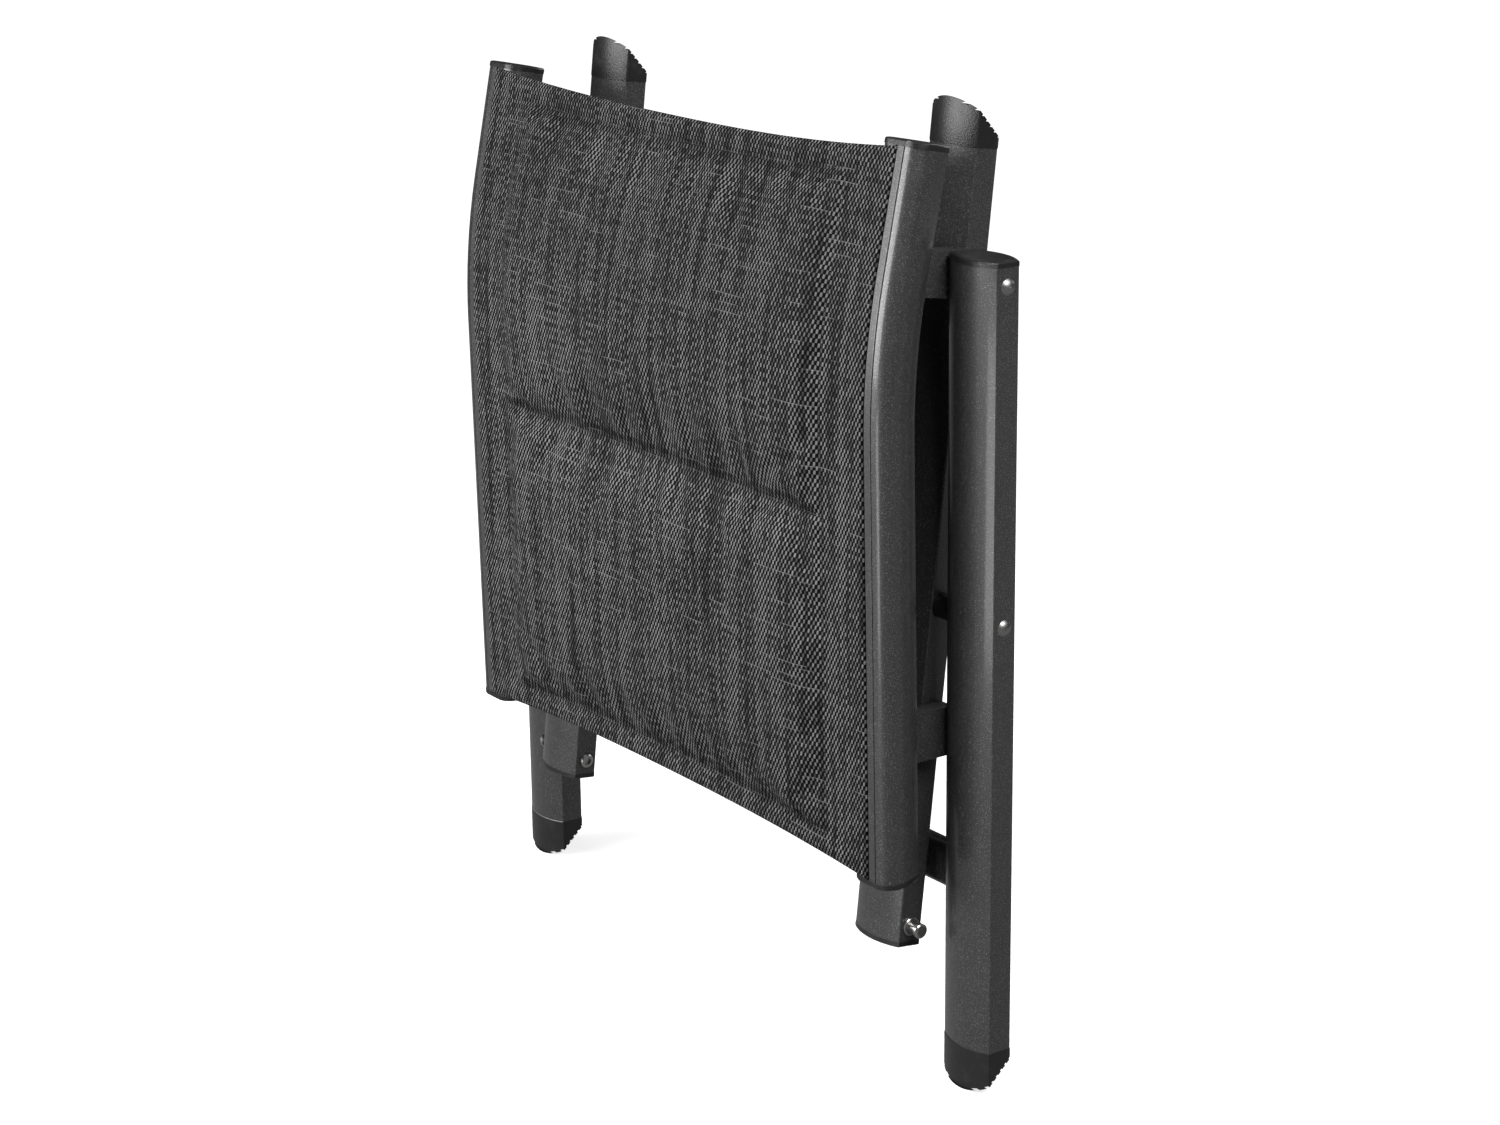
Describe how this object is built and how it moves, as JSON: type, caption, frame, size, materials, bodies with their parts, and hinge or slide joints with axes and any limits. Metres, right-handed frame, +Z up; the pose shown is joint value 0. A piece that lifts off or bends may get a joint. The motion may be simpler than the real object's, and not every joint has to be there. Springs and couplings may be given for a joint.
{
  "type": "folding sling footstool",
  "caption": "Folding garden stool with a padded textile sling on two bent rails and crossing oval-tube legs, shown folded upright.",
  "frame": {"origin": "on the floor under the middle of the folded stool's bounding box, standing on the outer feet", "axes": "+X across the seat, +Y from the sling's face to the back of the folded stool, +Z up along the outer legs"},
  "size_m": [0.5288, 0.1148, 0.5872],
  "materials": {
    "frame_coat": "satin anthracite powder coat on aluminium",
    "cap_plastic": "fine leather-grained moulding",
    "foot_plastic": "fine leather-grained moulding",
    "rivet_steel": "domed zinc-plated steel",
    "pin_steel": "bright turned steel",
    "nylon": "black nylon",
    "sling_weave": "melange black and grey mesh textile",
    "foam": "open-cell foam"
  },
  "bodies": {
    "outer_leg_frame": {"outer_leg_right": "frame_coat", "outer_leg_left": "frame_coat", "outer_cap_right": "cap_plastic", "outer_cap_left": "cap_plastic", "outer_foot_right": "foot_plastic", "outer_foot_left": "foot_plastic", "outer_stretcher": "frame_coat", "hinge_rivets": "rivet_steel", "hinge_washers": "nylon", "pivot_rivets": "rivet_steel", "pivot_spacers": "nylon"},
    "inner_leg_frame": {"inner_leg_right": "frame_coat", "inner_leg_left": "frame_coat", "inner_cap_right": "cap_plastic", "inner_cap_left": "cap_plastic", "inner_foot_right": "foot_plastic", "inner_foot_left": "foot_plastic", "inner_stretcher": "frame_coat", "latch_pins": "pin_steel", "latch_bolts": "pin_steel"},
    "seat_frame": {"seat_rail_right": "frame_coat", "seat_rail_left": "frame_coat", "rail_top_cap_right": "cap_plastic", "rail_top_cap_left": "cap_plastic", "rail_bottom_cap_right": "cap_plastic", "rail_bottom_cap_left": "cap_plastic", "keder_rod_right": "nylon", "keder_rod_left": "nylon", "lower_crossbar": "frame_coat", "upper_crossbar": "frame_coat", "hinge_bracket_right": "frame_coat", "hinge_bracket_left": "frame_coat", "latch_block_right": "frame_coat", "latch_block_left": "frame_coat", "sling_cover": "sling_weave", "foam_pad_lower": "foam", "foam_pad_upper": "foam"}
  },
  "joints": [
    {"name": "legs_open", "type": "hinge", "parent": "outer_leg_frame", "child": "inner_leg_frame", "pos_m": [0, 0.01271, 0.292], "axis": [-1, 0, 0], "range_deg": [0, 86.9]},
    {"name": "seat_lift", "type": "hinge", "parent": "outer_leg_frame", "child": "seat_frame", "pos_m": [0, 0.01271, 0.491], "axis": [-1, 0, 0], "range_deg": [0, 43.45]}
  ],
  "couplings": [
    {"joint": "seat_lift", "follows": "legs_open", "ratio": 0.5}
  ]
}
